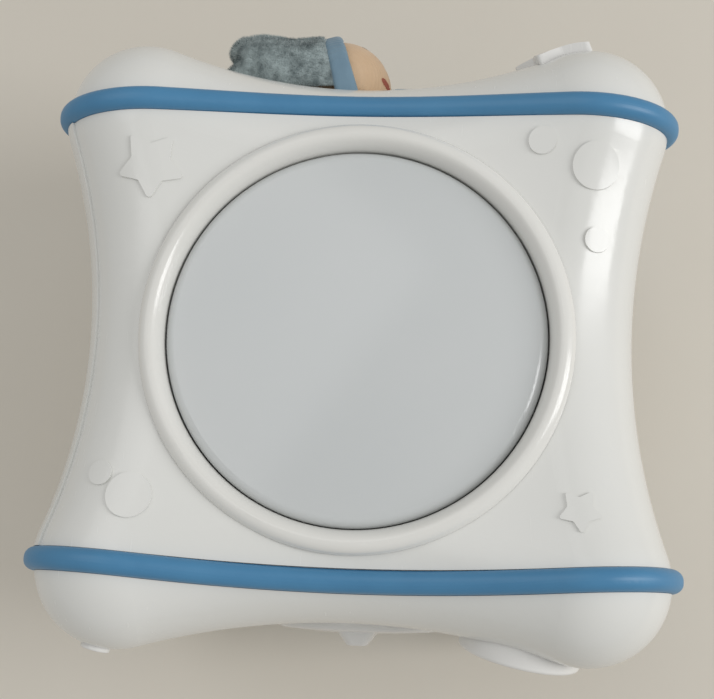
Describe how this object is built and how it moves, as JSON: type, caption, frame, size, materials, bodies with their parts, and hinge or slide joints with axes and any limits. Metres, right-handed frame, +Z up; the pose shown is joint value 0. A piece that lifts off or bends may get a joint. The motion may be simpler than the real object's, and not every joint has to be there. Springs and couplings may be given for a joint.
{
  "type": "nursery projector cube",
  "caption": "Lobed white cube with dished faces, blue trim bands, a round milky light panel over an inner projector, controls on one end and a plush sleeping doll on the other.",
  "frame": {"origin": "middle of the object's box on the table plane under the feet", "axes": "+Z up through the light panel, +Y to the doll end, -Y to the control end"},
  "size_m": [0.1778, 0.1888, 0.1794],
  "materials": {
    "casing_white": "glossy moulded ABS",
    "control_white": "glossy moulded ABS",
    "ring_white": "glossy moulded ABS",
    "panel_milk": "milky diffusing polycarbonate",
    "trim_blue": "satin soft rubber",
    "foot_rubber": "matt rubber",
    "steel": "zinc plated",
    "reflector_white": "matt moulded plastic",
    "black_plastic": "matt moulded plastic",
    "clear": "clear polished",
    "film": "printed film",
    "board_green": "glass fibre board",
    "speaker_metal": "painted steel",
    "cell_wrap": "plain wrapped cells",
    "anchor_nylon": "nylon",
    "doll_skin": "brushed peach plush",
    "hem_blue": "smooth jersey",
    "nightcap_fleece": "long fleece",
    "pyjama_fleece": "short fleece"
  },
  "bodies": {
    "casing": {"barrel_screws": "steel", "base_shell": "casing_white", "battery_cells": "cell_wrap", "battery_contacts": "steel", "battery_springs": "steel", "big_board": "board_green", "big_switch": "black_plastic", "board_parts": "black_plastic", "board_screws": "steel", "casing_screws": "steel", "control_cap": "casing_white", "control_trim": "trim_blue", "doll_anchor": "anchor_nylon", "doll_body": "pyjama_fleece", "doll_cap": "casing_white", "doll_head": "doll_skin", "doll_hem": "hem_blue", "doll_left_arm": "pyjama_fleece", "doll_left_leg": "pyjama_fleece", "doll_nightcap": "nightcap_fleece", "doll_right_arm": "pyjama_fleece", "doll_right_leg": "pyjama_fleece", "doll_trim": "trim_blue", "feet": "foot_rubber", "housing_screws": "steel", "lamp_board": "board_green", "lamp_housing": "reflector_white", "lamp_led": "clear", "lens_barrel": "black_plastic", "light_panel": "panel_milk", "main_board": "board_green", "panel_ring": "ring_white", "panel_shell": "casing_white", "picture_slide": "film", "projection_lens": "clear", "selector_screws": "steel", "selector_switch": "black_plastic", "slide_ring": "black_plastic", "small_board": "board_green", "small_switch": "black_plastic", "speaker": "speaker_metal", "speaker_ring": "black_plastic", "speaker_screws": "steel", "star_board": "board_green", "star_switch": "black_plastic"},
    "dial_body": {"dial": "control_white"},
    "big_button_body": {"big_button": "control_white"},
    "small_button_body": {"small_button": "control_white"},
    "star_button_body": {"star_button": "control_white"},
    "battery_door_body": {"battery_door": "casing_white", "door_screw": "steel"}
  },
  "joints": [
    {"name": "dial_turn", "type": "hinge", "parent": "casing", "child": "dial_body", "pos_m": [0, -0.07795, 0.0905], "axis": [0, -1, 0], "range_deg": [-60, 60]},
    {"name": "big_button_press", "type": "slide", "parent": "casing", "child": "big_button_body", "axis": [0.1776, 0.9679, 0.1776], "range_m": [0, 0.0015], "stiffness_N_per_m": 600, "springref_m": -0.001},
    {"name": "small_button_press", "type": "slide", "parent": "casing", "child": "small_button_body", "axis": [0.225, 0.9744, 0], "range_m": [0, 0.0008], "stiffness_N_per_m": 500, "springref_m": -0.001},
    {"name": "star_button_press", "type": "slide", "parent": "casing", "child": "star_button_body", "axis": [0.342, -0.9397, 0], "range_m": [0, 0.0015], "stiffness_N_per_m": 600, "springref_m": -0.001},
    {"name": "battery_door_tilt", "type": "hinge", "parent": "casing", "child": "battery_door_body", "pos_m": [0.07722, -0.00605, 0.0493], "axis": [0, 1, 0], "range_deg": [0, 75]}
  ]
}
